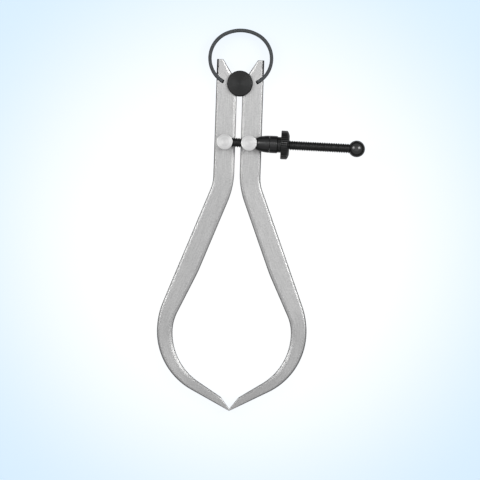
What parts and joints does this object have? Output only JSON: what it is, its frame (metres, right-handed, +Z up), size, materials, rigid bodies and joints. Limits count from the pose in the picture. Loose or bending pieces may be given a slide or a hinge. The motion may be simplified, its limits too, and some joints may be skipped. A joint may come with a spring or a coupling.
{
  "type": "outside caliper",
  "caption": "Outside caliper with bowed flat steel legs on a fulcrum spool, a bow spring, and a screw with a knurled nut that sets the opening.",
  "frame": {"origin": "centre of the fulcrum spool's flat back face, on which the caliper lies", "axes": "+X to the screw's ball, +Y from the fulcrum to the crown of the bow spring, +Z up out of the front of the legs"},
  "size_m": [0.0957, 0.1814, 0.0166],
  "materials": {
    "satin_steel": "satin ground",
    "turned_steel": "bright turned",
    "plain_steel": "plain",
    "black_oxide": "black oxide",
    "black_spring": "black oxide"
  },
  "bodies": {
    "fulcrum": {"fulcrum_spool": "black_oxide", "bow_spring": "black_spring"},
    "right_leg": {"right_leg": "satin_steel"},
    "left_leg": {"left_leg": "satin_steel"},
    "screw_and_stud": {"left_stud": "turned_steel", "left_stud_washer": "plain_steel", "adjusting_screw": "black_oxide", "stop_ball": "black_oxide"},
    "collar_and_stud": {"right_stud": "turned_steel", "right_stud_washer": "plain_steel", "thrust_collar": "black_oxide"},
    "nut": {"adjusting_nut": "black_oxide"}
  },
  "joints": [
    {"name": "right_leg_swing", "type": "hinge", "parent": "fulcrum", "child": "right_leg", "pos_m": [0, 0, 0.00355], "axis": [0, 0, 1], "range_deg": [0, 29], "deforming": ["bow_spring"]},
    {"name": "left_leg_swing", "type": "hinge", "parent": "fulcrum", "child": "left_leg", "pos_m": [0, 0, 0.00355], "axis": [0, 0, 1], "range_deg": [-29, 0]},
    {"name": "left_stud_swivel", "type": "hinge", "parent": "left_leg", "child": "screw_and_stud", "pos_m": [-0.00631, -0.028, 0.00355], "axis": [0, 0, 1], "range_deg": [0, 29]},
    {"name": "right_stud_swivel", "type": "hinge", "parent": "right_leg", "child": "collar_and_stud", "pos_m": [0.00518, -0.02823, 0.00355], "axis": [0, 0, 1], "range_deg": [-29, 0]},
    {"name": "nut_spin", "type": "hinge", "parent": "collar_and_stud", "child": "nut", "pos_m": [0.00518, -0.02823, 0.00985], "axis": [0.9998, -0.0201, 0], "continuous": true}
  ],
  "couplings": [
    {"joint": "left_leg_swing", "follows": "right_leg_swing", "ratio": -1},
    {"joint": "left_stud_swivel", "follows": "right_leg_swing", "ratio": 1},
    {"joint": "right_stud_swivel", "follows": "right_leg_swing", "ratio": -1}
  ]
}
